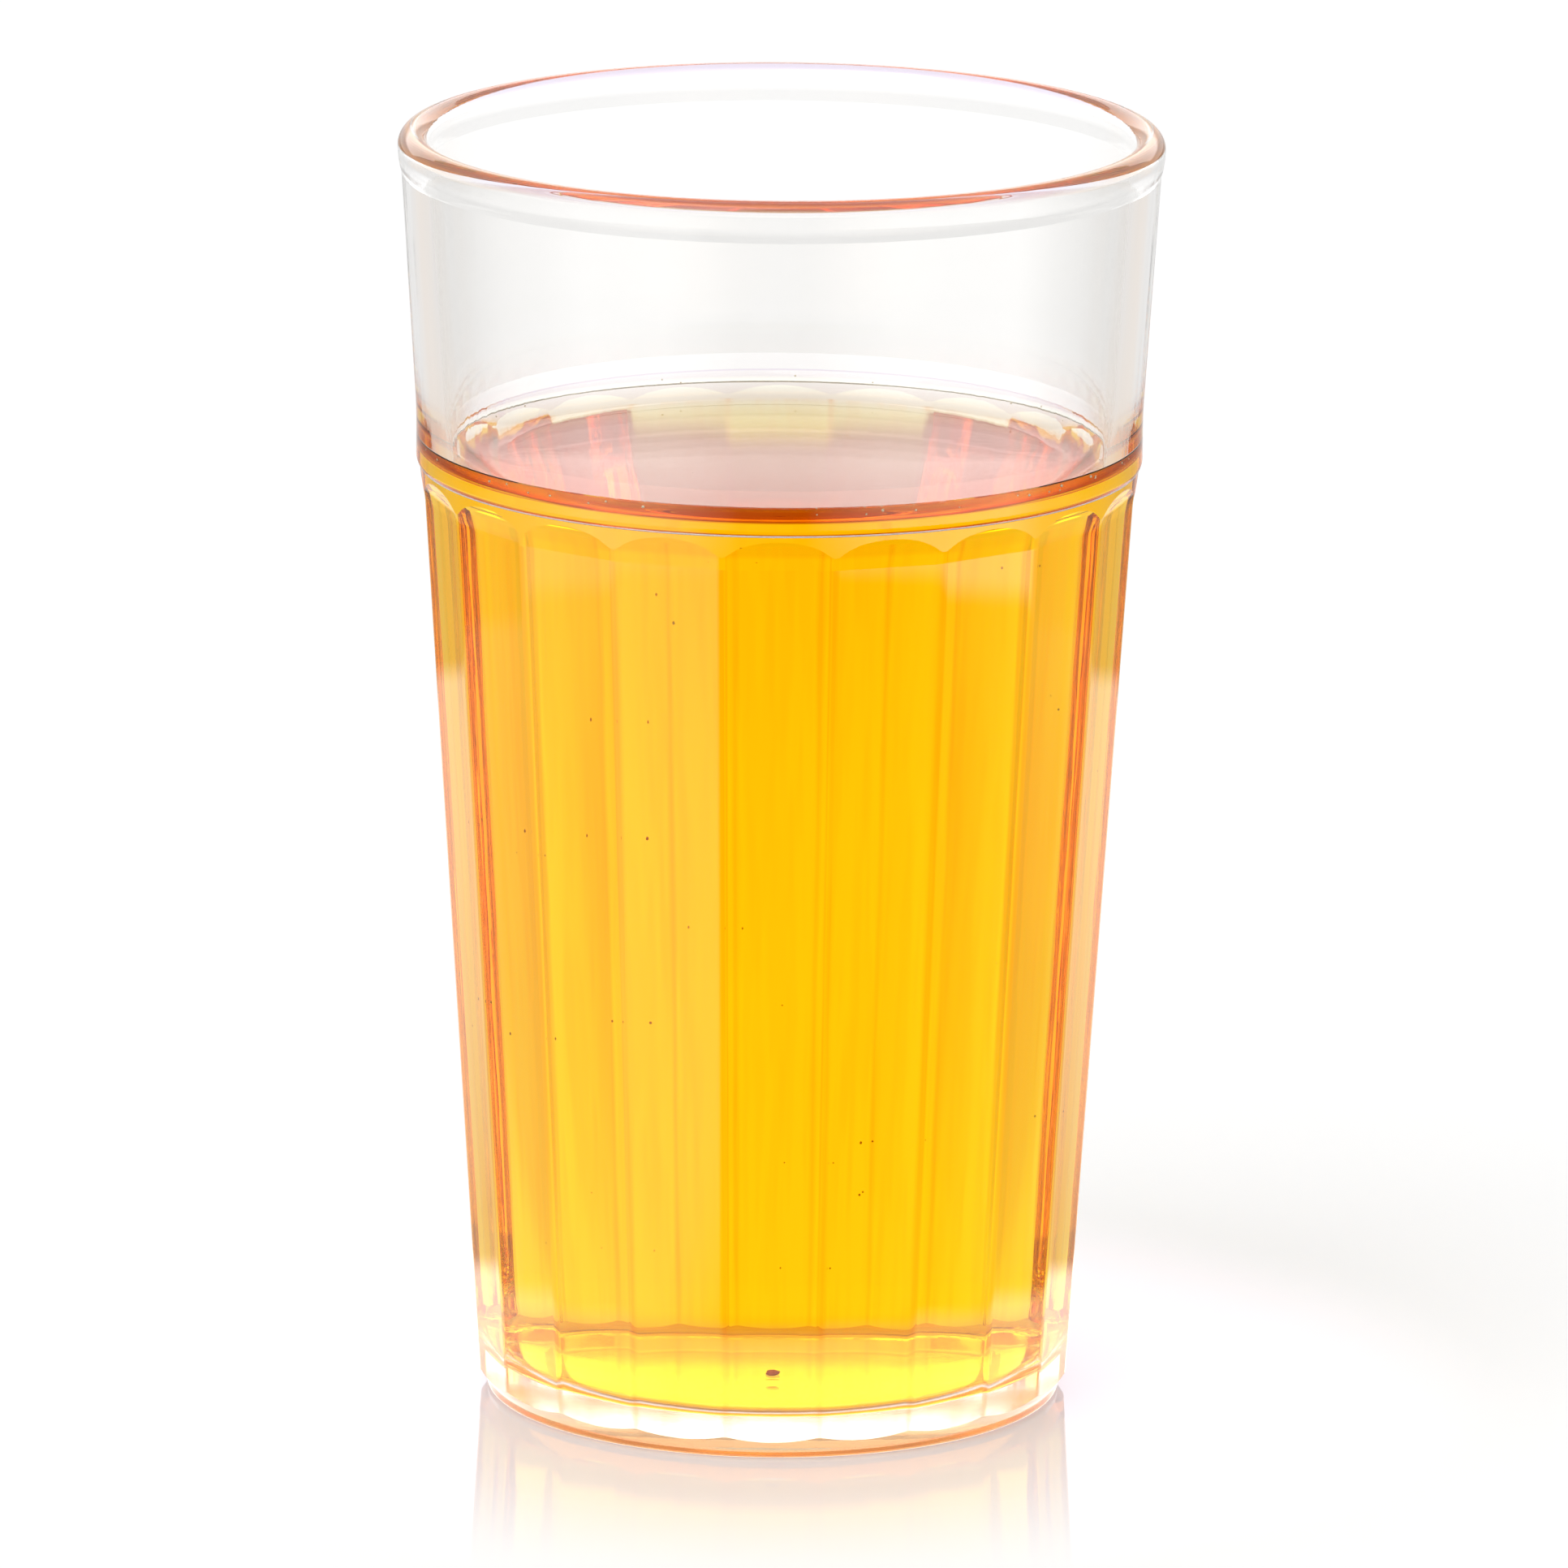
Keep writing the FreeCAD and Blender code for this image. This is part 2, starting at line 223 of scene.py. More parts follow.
def tumbler_outline(turn):
    """From under the base's middle, out, up and in, with as many points at every turn."""
    spread, _ = flute_spread(turn)
    low_edge = meeting_height(
        FOOT_HEIGHT, CONE_FOOT_HEIGHT,
        lambda z: flute_flat(z)[0] * spread - FOOT_RADIUS - (z - FOOT_HEIGHT) * CHAMFER_SLOPE)
    arch_edge = meeting_height(
        ARCH_FOOT, ARCH_TOP, lambda z: flute_flat(z)[0] * spread - cone_radius(z))
    gate_top = (GATE_RADIUS, RECESS_DEPTH)
    recess_corner = (RECESS_EDGE - RECESS_BEVEL, RECESS_DEPTH)
    foot_inside = (RECESS_EDGE, 0.0)
    foot_middle = (FOOT_RADIUS - FOOT_ROUND, FOOT_ROUND)
    foot_outside = (FOOT_RADIUS, FOOT_ROUND)
    foot_top = (FOOT_RADIUS, FOOT_HEIGHT)
    step_corner = (cone_radius(STEP_HEIGHT), STEP_HEIGHT)
    step_outside = (SKIRT_RADIUS, STEP_HEIGHT + STEP_ROUND_HEIGHT)
    bend = SKIRT_TOP + (SKIRT_RADIUS - cone_radius(SKIRT_TOP)) / CONE_SLOPE
    skirt_top = (SKIRT_RADIUS, bend - SKIRT_BLEND)
    lean = math.atan(CONE_SLOPE)
    blend_top = (SKIRT_RADIUS + SKIRT_BLEND * math.sin(lean), bend + SKIRT_BLEND * math.cos(lean))
    blend_centre = (SKIRT_RADIUS + SKIRT_BLEND / math.tan(lean / 2), skirt_top[1])
    cone_top = (cone_radius(LIP_BLEND_HEIGHT), LIP_BLEND_HEIGHT)
    lip_outside = (RIM_RADIUS, LIP_MIDDLE)
    lip_centre = (RIM_RADIUS - LIP_RADIUS, LIP_MIDDLE)
    lip_top = (RIM_RADIUS - LIP_RADIUS, TUMBLER_HEIGHT)
    lip_inside = (RIM_RADIUS - LIP_THICKNESS, LIP_MIDDLE)
    corner = corner_arc()
    flat_heights = [low_edge + (ARCH_FOOT - low_edge) * step / 20 for step in range(20)]
    arch_heights = [ARCH_FOOT + (arch_edge - ARCH_FOOT) * step / 10 for step in range(11)]
    flute = [flute_point(turn, z) for z in flat_heights + arch_heights]
    return [
        line((GATE_RADIUS, RECESS_DEPTH - GATE_HEIGHT), gate_top, 1),
        line(gate_top, recess_corner, 6),
        line(recess_corner, foot_inside, 1),
        line(foot_inside, (foot_middle[0], 0.0), 2),
        arc(foot_middle, (foot_middle[0], 0.0), foot_outside, 5),
        line(foot_outside, foot_top, 1),
        line(foot_top, flute[0], 3),
        flute,
        line(flute[-1], step_corner, 2),
        drift_arc(step_corner, step_outside, 6),
        line(step_outside, skirt_top, 2),
        arc(blend_centre, skirt_top, blend_top, 8),
        line(blend_top, cone_top, 8),
        drift_arc(cone_top, lip_outside, 8),
        arc(lip_centre, lip_outside, lip_top, 10),
        arc(lip_centre, lip_top, lip_inside, 10),
        line(lip_inside, corner[0], 30),
        corner,
        line(corner[-1], (GATE_RADIUS, FLOOR_HEIGHT), 6),
    ]


def meniscus(count):
    """Juice surface from the wall in: an arc down the wall that ends level."""
    contact = cavity_radius(JUICE_TOP)
    bend = (MENISCUS_REACH ** 2 + JUICE_RISE ** 2) / (2 * JUICE_RISE)
    centre = (contact - MENISCUS_REACH, JUICE_LEVEL + bend)
    points = arc(centre, (contact, JUICE_TOP), (centre[0], JUICE_LEVEL), count)
    return [(radius, z, (-abs(away), 0.0, abs(up))) for radius, z, (away, _, up) in points]


def juice_outline():
    """The cavity up to the juice's surface, moved into the wall by JUICE_REACH."""
    corner = corner_arc(JUICE_REACH)[::-1]
    corner = [(radius, z, tuple(-part for part in normal)) for radius, z, normal in corner]
    surface = meniscus(48)
    radius, top, normal = surface[0]
    edge = (radius + JUICE_REACH, top - JUICE_REACH * normal[0] / normal[2])
    return [
        line((GATE_RADIUS, corner[0][1]), corner[0], 6),
        corner,
        line(corner[-1], edge, 30),
        line(edge, surface[0], 1),
        surface,
        line(surface[-1], (GATE_RADIUS, surface[-1][1]), 8),
    ]


# ---------------------------------------------------------------- meshes
FLAT_STEPS, EDGE_STEPS = 6, 3
RING_SIDES, RING_WAVES, RING_THICK, RING_SWELL = 8, 4, 0.8, 0.25
GRAIN_SWELL, GRAIN_NOISE = 0.25, 1.7


def flute_turns():
    """Angles from a flute's middle: even over its flat, close together at its edge."""
    rounding = EDGE_ROUND / CONE_FOOT_RADIUS
    flat = HALF_FLUTE - rounding
    return ([flat * step / FLAT_STEPS for step in range(-FLAT_STEPS, FLAT_STEPS + 1)]
            + [flat + rounding * step / EDGE_STEPS for step in range(1, 2 * EDGE_STEPS)])


def turned_mesh(name, columns, marks):
    """Closed mesh from columns of (angle, outline), with the outlines' own normals.

    marks gives, by attribute name, how strongly faces are marked, from the middle of a face
    as (radius, height, angle).
    """
    vertices, faces, normals = [], [], []
    marked = {mark: [] for mark in marks}
    for angle, outline in columns:
        points = [outline[0][0]] + [point for stretch in outline for point in stretch[1:]]
        vertices += [(radius * math.cos(angle) * MM, radius * math.sin(angle) * MM, z * MM)
                     for radius, z, _ in points]
    rows = len(points)

    def turned(column, normal):
        angle = columns[column][0]
        away, sideways, up = normal
        return (away * math.cos(angle) - sideways * math.sin(angle),
                away * math.sin(angle) + sideways * math.cos(angle), up)

    for column in range(len(columns)):
        beside = (column + 1) % len(columns)
        turn = (columns[beside][0] - columns[column][0]) % (2 * math.pi)
        between = columns[column][0] + turn / 2
        row = 0
        for here, there in zip(columns[column][1], columns[beside][1]):
            for step in range(len(here) - 1):
                faces.append((column * rows + row, beside * rows + row,
                              beside * rows + row + 1, column * rows + row + 1))
                normals += [turned(column, here[step][2]), turned(beside, there[step][2]),
                            turned(beside, there[step + 1][2]), turned(column, here[step + 1][2])]
                middle = [(here[step][axis] + here[step + 1][axis]) / 2 for axis in (0, 1)]
                for mark, amount in marks.items():
                    marked[mark].append(float(amount(*middle, between)))
                row += 1
    for row, up in ((0, -1.0), (rows - 1, 1.0)):
        centre = len(vertices)
        vertices.append((0.0, 0.0, vertices[row][2]))
        for column in range(len(columns)):
            pair = [column * rows + row, (column + 1) % len(columns) * rows + row]
            faces.append((*(pair if up > 0 else pair[::-1]), centre))
            normals += [(0.0, 0.0, up)] * 3
            for mark, amount in marks.items():
                marked[mark].append(float(amount(0.0, points[row][1], 0.0)))
    mesh = bpy.data.meshes.new(name)
    mesh.from_pydata(vertices, [], faces)
    mesh.shade_smooth()
    mesh.normals_split_custom_set(normals)
    for mark, values in marked.items():
        mesh.attributes.new(mark, "FLOAT", "FACE").data.foreach_set("value", values)
    return mesh


def ring_mesh(name, radius, height, thickness, count):
    """Thin ring round the axis, of a round section that swells and thins along it."""
    mesh = bmesh.new()
    loops = []
    for step in range(count):
        angle = 2 * math.pi * step / count
        place = Vector((math.cos(angle), math.sin(angle), 0.0)) * RING_WAVES
        swell = thickness * (RING_THICK + RING_SWELL * noise.noise(place))
        loop = []
        for side in range(RING_SIDES):
            turn = 2 * math.pi * side / RING_SIDES
            away = radius + swell * math.cos(turn)
            loop.append(mesh.verts.new(Vector((away * math.cos(angle), away * math.sin(angle),
                                               height + swell * math.sin(turn))) * MM))
        loops.append(loop)
    for step, loop in enumerate(loops):
        beside = loops[(step + 1) % count]
        for side in range(RING_SIDES):
            following = (side + 1) % RING_SIDES
            mesh.faces.new((loop[side], beside[side], beside[following], loop[following]))
    data = bpy.data.meshes.new(name)
    mesh.to_mesh(data)
    mesh.free()
    data.shade_smooth()
    return data


def grains_mesh(name, grains):
    """Small uneven lumps, each (x, y, z, radius, flatness)."""
    mesh = bmesh.new()
    for x, y, z, radius, flatness in grains:
        made = bmesh.ops.create_icosphere(mesh, subdivisions=2, radius=1.0)
        for vertex in made["verts"]:
            bump = 1 + GRAIN_SWELL * noise.noise(vertex.co * GRAIN_NOISE + Vector((x, y, z)))
            place = vertex.co * radius * bump
            vertex.co = Vector((x + place.x, y + place.y, z + place.z * flatness)) * MM
    data = bpy.data.meshes.new(name)
    mesh.to_mesh(data)
    mesh.free()
    data.shade_smooth()
    return data


# ---------------------------------------------------------------- pieces
# The foot's painted shade is this share weaker at the foot's top.
FOOT_SHADE_FADE = 0.15
EDGE_BEAD_OUT, EDGE_BEAD_HALF, EDGE_BEAD_SECTIONS = 0.02, 0.12, 360
# The pale ring along the step is a painted highlight line.
STEP_HIGHLIGHT_COLOUR = (1.0, 0.97, 0.92)
# The gate mark's brown is painted shade, standing in for juice light scattered by the gate's
# rough scar.
GATE_MARK_RISE, GATE_MARK_RADIUS, GATE_MARK_FLATNESS = 0.2, 0.8, 0.35
GATE_MARK_PAINTED_BROWN = (0.8, 0.28, 0.02)
SPECK_COUNT, SPECK_HEIGHTS, SPECK_MARGIN = 26, (8.0, 84.0), 0.6
SPECK_RADII, SPECK_FLATNESS = (0.06, 0.13), (0.7, 1.6)
PULP_COLOUR = (0.8, 0.42, 0.07)
BUBBLE_COUNT, BUBBLE_MARGIN, BUBBLE_SINK = 34, (0.25, 0.9), 0.1
BUBBLE_RADII, BUBBLE_FLATNESS = (0.08, 0.15), 0.8
FOAM_COLOUR = (1.0, 0.86, 0.6)


def add_object(name, mesh, material):
    piece = bpy.data.objects.new(name, mesh)
    bpy.context.scene.collection.objects.link(piece)
    piece.data.materials.append(material)
    return piece


def add_piece(mesh, material):
    piece = add_object(mesh.name, mesh, material)
    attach(piece, BODY)
    return piece


def on_cavity(radius, z):
    """True in the cavity and on its wall."""
    return radius < cavity_radius(z) + SLACK


def on_flute(radius, z):
    return CONE_FOOT_HEIGHT < z < ARCH_FOOT and not on_cavity(radius, z)


def flute_edge(radius, z, angle):
    """1 along the edge between two flutes, 0 from where its rounding ends."""
    if not on_flute(radius, z):
        return 0.0
    share = ((angle - FRONT) / (2 * HALF_FLUTE) - 0.5) % 1
    beside = min(share, 1 - share) * 2 * HALF_FLUTE * CONE_FOOT_RADIUS
    return max(0.0, 1 - beside / EDGE_ROUND)


def make_tumbler(material):
    columns = []
    for flute in range(FLUTE_COUNT):
        middle = FRONT + flute * 2 * HALF_FLUTE
        for turn in flute_turns():
            own_turn = turn if turn <= HALF_FLUTE else turn - 2 * HALF_FLUTE
            columns.append((middle + turn, tumbler_outline(own_turn)))
    mesh = turned_mesh("clear_tumbler", columns, {
        "wet": lambda radius, z, angle: (
            FLOOR_HEIGHT - SLACK < z < JUICE_TOP and on_cavity(radius, z)),
        "dry": lambda radius, z, angle: z >= JUICE_TOP and on_cavity(radius, z),
        "flute": lambda radius, z, angle: on_flute(radius, z),
        "edge": flute_edge,
        # The foot mark carries painted shade, weaker higher up.
        "foot": lambda radius, z, angle: (z < CONE_FOOT_HEIGHT and radius > RECESS_EDGE) * (
            1 - FOOT_SHADE_FADE * z / CONE_FOOT_HEIGHT),
        "under": lambda radius, z, angle: radius < RECESS_EDGE and z < RECESS_DEPTH + SLACK,
        # The gate mark carries painted shade and a painted reflection.
        "gate": lambda radius, z, angle: (
            radius < GATE_RADIUS + SLACK and z < FLOOR_HEIGHT / 2)})
    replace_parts(add_piece(mesh, material), "tumbler")


def make_juice(material):
    outline = juice_outline()
    count = FLUTE_COUNT * len(flute_turns())
    columns = [(FRONT + 2 * math.pi * step / count, outline) for step in range(count)]
    mesh = turned_mesh("juice_fill", columns, {
        "wet": lambda radius, z, angle: z < JUICE_LEVEL - SLACK or not on_cavity(radius, z)})
    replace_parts(add_piece(mesh, material), "juice")


def make_step_highlight():
    """A thin pale ring along the step under the skirt: a painted highlight line."""
    mesh = ring_mesh("step_highlight_line", cone_radius(STEP_HEIGHT) + EDGE_BEAD_OUT,
                     STEP_HEIGHT + EDGE_BEAD_HALF, EDGE_BEAD_HALF, EDGE_BEAD_SECTIONS)
    add_piece(mesh, solid_material("painted_highlight_plastic", STEP_HIGHLIGHT_COLOUR, SMOOTH, 0.0004))


def make_gate_mark():
    """The spot over the moulding gate in the middle of the floor, in a painted brown shade that
    stands in for juice light scattered by the gate's rough scar.
    """
    mesh = grains_mesh("gate_mark", [(0.0, 0.0, FLOOR_HEIGHT + GATE_MARK_RISE,
                                      GATE_MARK_RADIUS, GATE_MARK_FLATNESS)])
    add_piece(mesh, solid_material("gate_painted_brown", GATE_MARK_PAINTED_BROWN, SATIN, 0.0003))


def make_specks():
    """Flecks of pulp all through the juice."""
    specks = []
    for _ in range(SPECK_COUNT):
        angle, share = random.uniform(0, 2 * math.pi), math.sqrt(random.random())
        z = random.uniform(*SPECK_HEIGHTS)
        away = (cavity_radius(z) - SPECK_MARGIN) * share
        specks.append((away * math.cos(angle), away * math.sin(angle), z,
                       random.uniform(*SPECK_RADII), random.uniform(*SPECK_FLATNESS)))
    add_piece(grains_mesh("juice_specks", specks),
              solid_material("apple_pulp", PULP_COLOUR, MATT, 0.0002))


def make_bubbles():
    """Small bubbles where the juice climbs the wall."""
    wall = cavity_radius(JUICE_TOP)
    bubbles = []
    for _ in range(BUBBLE_COUNT):
        angle = random.uniform(0, 2 * math.pi)
        away = wall - random.uniform(*BUBBLE_MARGIN)
        rise = JUICE_RISE * (1 - (wall - away) / MENISCUS_REACH) ** 2
        bubbles.append((away * math.cos(angle), away * math.sin(angle),
                        JUICE_LEVEL + rise - BUBBLE_SINK, random.uniform(*BUBBLE_RADII),
                        BUBBLE_FLATNESS))
    add_piece(grains_mesh("juice_bubbles", bubbles),
              solid_material("juice_foam", FOAM_COLOUR, SMOOTH, 0.0002))


# ---------------------------------------------------------------- nodes
def new_material(name):
    material = bpy.data.materials.new(name)
    material.use_nodes = True
    nodes = material.node_tree.nodes
    links = material.node_tree.links
    return material, nodes, links, nodes["Principled BSDF"], nodes["Material Output"]


def math_node(nodes, links, operation, *values):
    node = nodes.new("ShaderNodeMath")
    node.operation = operation
    for index, value in enumerate(values):
        if isinstance(value, (int, float)):
            node.inputs[index].default_value = value
        else:
            links.new(value, node.inputs[index])
    return node.outputs[0]


def mixed_colour(nodes, links, share, first, second):
    node = nodes.new("ShaderNodeMix")
    node.data_type = "RGBA"
    for socket, value in ((node.inputs["Factor"], share), (node.inputs[6], first),
                          (node.inputs[7], second)):
        if isinstance(value, tuple):
            socket.default_value = (*value, 1)
        elif isinstance(value, (int, float)):
            socket.default_value = value
        else:
            links.new(value, socket)
    return node.outputs[2]


def smooth_range(nodes, links, value, start, end, low=0.0, high=1.0):
    """low up to start, high from end on, and a smooth way between."""
    node = nodes.new("ShaderNodeMapRange")
    node.interpolation_type = "SMOOTHSTEP"
    for name, number in zip(("From Min", "From Max", "To Min", "To Max"),
                            (start, end, low, high)):
        node.inputs[name].default_value = number
    links.new(value, node.inputs["Value"])
    return node.outputs["Result"]


def round_tone(nodes, links, place, tones):
    """Tone at a place or in a direction, by its angle round the tumbler."""
    parts = nodes.new("ShaderNodeSeparateXYZ")
    links.new(place, parts.inputs[0])
    front = math_node(nodes, links, "MULTIPLY", parts.outputs["Y"], -1.0)
    angle = math_node(nodes, links, "ARCTAN2", parts.outputs["X"], front)
    share = math_node(nodes, links, "MULTIPLY_ADD", angle, 0.5 / math.pi, 0.5)
    ramp = nodes.new("ShaderNodeValToRGB")
    links.new(share, ramp.inputs["Fac"])
    stops = ramp.color_ramp.elements
    while len(stops) < len(tones):
        stops.new(0.5)
    for stop, (degrees, tone, *warmth) in zip(stops, tones):
        warm = 1 - sum(warmth)
        stop.position = degrees / 360 + 0.5
        stop.color = (tone, tone * warm, tone * warm ** 2, 1)
    return ramp.outputs["Color"]


def place_radius(nodes, links, place):
    distance = nodes.new("ShaderNodeVectorMath")
    distance.operation = "LENGTH"
    links.new(place, distance.inputs[0])
    return distance.outputs["Value"]


def mark_value(nodes, name):
    mark = nodes.new("ShaderNodeAttribute")
    mark.attribute_name = name
    return mark.outputs["Fac"]


def noise_value(nodes, links, size, stretch):
    """Noise of features of a size in metres, drawn out upwards stretch times."""
    place = nodes.new("ShaderNodeTexCoord").outputs["Object"]
    mapping = nodes.new("ShaderNodeMapping")
    mapping.inputs["Scale"].default_value = (1, 1, 1 / stretch)
    links.new(place, mapping.inputs["Vector"])
    cloud = nodes.new("ShaderNodeTexNoise")
    cloud.inputs["Scale"].default_value = 1 / size
    links.new(mapping.outputs["Vector"], cloud.inputs["Vector"])
    return cloud.outputs["Fac"]


def add_bump(nodes, links, shader, height, distance, strength):
    bump = nodes.new("ShaderNodeBump")
    bump.inputs["Distance"].default_value = distance
    bump.inputs["Strength"].default_value = strength
    links.new(height, bump.inputs["Height"])
    links.new(bump.outputs["Normal"], shader.inputs["Normal"])


# ---------------------------------------------------------------- materials
# A clear material's colour is what stays of white light, the more so the denser it is.
WHITE, BLACK = (1, 1, 1), (0, 0, 0)
PLASTIC_IOR, JUICE_IOR = 1.5, 1.345
PLASTIC_COLOUR, PLASTIC_DENSITY = (0.95, 0.7, 0.3), 3.0
JUICE_COLOUR, JUICE_DENSITY = (1.0, 0.893, 0.0), 110.0
STREAK_TINT = (1.0, 0.93, 0.84)
STREAK_SIZE, STREAK_STRETCH, STREAK_RANGE = 0.0016, 60, (0.46, 0.62)
STREAK_BUMP = (0.00002, 0.3)
# The dry wall above the juice is greyed: painted shade that darkens the clear band.
DRY_SHADE_TINT = (0.825, 0.82, 0.81)
# The foot is painted amber brown: painted shade for the juice's colour seen through it.
FOOT_SHADE_TINT = (0.42, 0.19, 0.025)
# The gate is painted brown: painted shade for juice light scattered by its rough scar.
GATE_PAINTED_TINT = (0.45, 0.16, 0.02)
# The flute edges are tinted darker and warmer in patches: painted shade.
EDGE_SHADE_TINT = (0.97, 0.66, 0.4)
EDGE_SHADE_SIZE, EDGE_SHADE_STRETCH, EDGE_SHADE_RANGE = 0.003, 8, (0.3, 0.6, 0.5, 1.0)
UNDER_ROUGHNESS = 0.12
JUICE_WAVE_SIZE, JUICE_BUMP = 0.004, (0.00001, 0.3)
SMOOTH, SATIN, MATT = 0.2, 0.5, 0.7
GRAIN_SHADE, GRAIN_RANGE, GRAIN_DEPTH, GRAIN_BUMP = 0.75, (0.3, 0.7), 0.3, 0.4
ROUGHNESS_LOW, ROUGHNESS_HIGH = 0.7, 1.3


def clear_material(name, ior, absorbed, density):
    """Clear solid: a smooth surface and a tint that deepens with the way through it."""
    material, nodes, links, shader, output = new_material(name)
    shader.inputs["Base Color"].default_value = (*WHITE, 1)
    shader.inputs["Transmission Weight"].default_value = 1.0
    shader.inputs["IOR"].default_value = ior
    volume = nodes.new("ShaderNodeVolumeAbsorption")
    volume.inputs["Color"].default_value = (*absorbed, 1)
    volume.inputs["Density"].default_value = density
    links.new(volume.outputs["Volume"], output.inputs["Volume"])
    return material, nodes, links, shader


def plastic_material():
    """Clear plastic, drawn in faint streaks, with a frosted underside, and painted shade on the
    dry wall, the foot, the gate and along the flute edges.
    """
    material, nodes, links, shader = clear_material(
        "clear_plastic", PLASTIC_IOR, PLASTIC_COLOUR, PLASTIC_DENSITY)
    streaks = noise_value(nodes, links, STREAK_SIZE, STREAK_STRETCH)
    streak = smooth_range(nodes, links, streaks, *STREAK_RANGE)
    outside = math_node(nodes, links, "MULTIPLY", streak, mark_value(nodes, "flute"))
    tint = mixed_colour(nodes, links, outside, WHITE, STREAK_TINT)
    # Painted shade along the flute edges, broken into patches by noise.
    edge_shade_patches = smooth_range(nodes, links,
                        noise_value(nodes, links, EDGE_SHADE_SIZE, EDGE_SHADE_STRETCH),
                        *EDGE_SHADE_RANGE)
    edge = math_node(nodes, links, "MULTIPLY", mark_value(nodes, "edge"), edge_shade_patches)
    # The dry wall, the foot and the gate get their painted shade tints here.
    for name, colour in (("dry", DRY_SHADE_TINT), ("foot", FOOT_SHADE_TINT), ("gate", GATE_PAINTED_TINT)):
        tint = mixed_colour(nodes, links, mark_value(nodes, name), tint, colour)
    tint = mixed_colour(nodes, links, edge, tint, EDGE_SHADE_TINT)
    links.new(tint, shader.inputs["Base Color"])
    shine = mixed_colour(nodes, links, mark_value(nodes, "wet"), WHITE, BLACK)
    # The gate's shine is tinted brown as well: a painted reflection.
    shine = mixed_colour(nodes, links, mark_value(nodes, "gate"), shine, GATE_PAINTED_TINT)
    links.new(shine, shader.inputs["Specular Tint"])
    links.new(math_node(nodes, links, "MULTIPLY", mark_value(nodes, "under"), UNDER_ROUGHNESS),
              shader.inputs["Roughness"])
    add_bump(nodes, links, shader, streaks, *STREAK_BUMP)
    return material


def solid_material(name, colour, roughness, grain):
    """Opaque: a colour that varies a little, and a fine uneven surface of a grain's size."""
    material, nodes, links, shader, _ = new_material(name)
    unevenness = noise_value(nodes, links, grain, 1)
    darker = tuple(GRAIN_SHADE * part for part in colour)
    links.new(mixed_colour(nodes, links, unevenness, colour, darker),
              shader.inputs["Base Color"])
    links.new(smooth_range(nodes, links, unevenness, *GRAIN_RANGE, roughness * ROUGHNESS_LOW,
                           roughness * ROUGHNESS_HIGH), shader.inputs["Roughness"])
    add_bump(nodes, links, shader, unevenness, grain * GRAIN_DEPTH, GRAIN_BUMP)
    return material


def juice_material():
    """The drink. Where it touches the plastic, it has no shine of its own."""
    material, nodes, links, shader = clear_material(
        "apple_juice", JUICE_IOR, JUICE_COLOUR, JUICE_DENSITY)
    shine = mixed_colour(nodes, links, mark_value(nodes, "wet"), WHITE, BLACK)
    links.new(shine, shader.inputs["Specular Tint"])
    shader.inputs["Roughness"].default_value = 0.0
    add_bump(nodes, links, shader, noise_value(nodes, links, JUICE_WAVE_SIZE, 1), *JUICE_BUMP)
    return material


# ---------------------------------------------------------------- studio
# Distances in the studio are in metres. A tone is (degrees round the tumbler from the front,
# brightness, where 1 is white, and warmth, if any). Mirrored in the tumbler, the floor has
# FOOT_CARD under the foot, then CARD_TONES, then CLEAR_TONES, and the world has SKY_TONES.
# Seen through the tumbler, the floor has NEAR_TONES, then FAR_TONES, then WALL_TONES.
CARD_TONES = [(-180, 1.1), (-140, 1.1), (-125, 0.6), (-105, 0.6), (-85, 0.7), (-66, 0.7),
              (-55, 1.1), (-30, 1.1), (-22, 0.0), (60, 0.0), (100, 0.3), (125, 0.6),
              (140, 1.1), (180, 1.1)]
CLEAR_TONES = [(-180, 1.0), (-150, 0.3), (-110, 0.1), (-75, 1.2), (-60, 2.2), (-35, 2.0),
               (-12, 0.1), (8, 0.0), (35, 2.0), (75, 2.2), (90, 0.6), (110, 0.1), (150, 0.3),
               (180, 1.0)]
NEAR_TONES = [(-180, 1.2), (-172, 1.2), (-165, 1.13), (-160, 1.05, 0.08), (-150, 1.0, 0.13),
              (-142, 0.95, 0.15), (-132, 0.95, 0.12), (-112, 0.95), (-95, 1.0), (95, 1.0),
              (112, 0.95), (132, 0.95, 0.12), (142, 0.95, 0.15), (150, 1.0, 0.13),
              (160, 1.05, 0.08), (165, 1.13), (172, 1.2), (180, 1.2)]
FAR_TONES = [(-180, 1.15), (-170, 1.15), (-160, 1.05), (-150, 1.0, 0.08), (-138, 0.9, 0.02),
             (-112, 0.88), (-95, 1.0), (95, 1.0), (112, 0.88), (138, 0.9, 0.02),
             (150, 1.0, 0.08), (160, 1.05), (170, 1.15), (180, 1.15)]
WALL_TONES = [(-180, 1.0), (-128, 1.0), (-60, 1.3), (-30, 2.0, 0.08), (0, 1.8), (30, 2.2, 0.08),
              (60, 1.3), (128, 1.0), (180, 1.0)]
SKY_TONES = [(-180, 1.0), (-150, 1.0), (-128, 1.3), (-60, 1.8), (60, 1.8), (128, 1.3),
             (150, 1.0), (180, 1.0)]
NEAR_EDGE, FAR_EDGE = (0.3, 0.45), (0.7, 1.0)
FOOT_CARD = (2.0, 2.0, 2.0)
FOOT_CARD_EDGE, CARD_EDGE = (0.054, 0.062), (0.272, 0.285)

FLOOR_HALF = 4.0
FLOOR_DROP = 0.02 * MM
FLOOR_WHITE = (0.85, 0.85, 0.85)
CAMERA_GLOW = 0.42
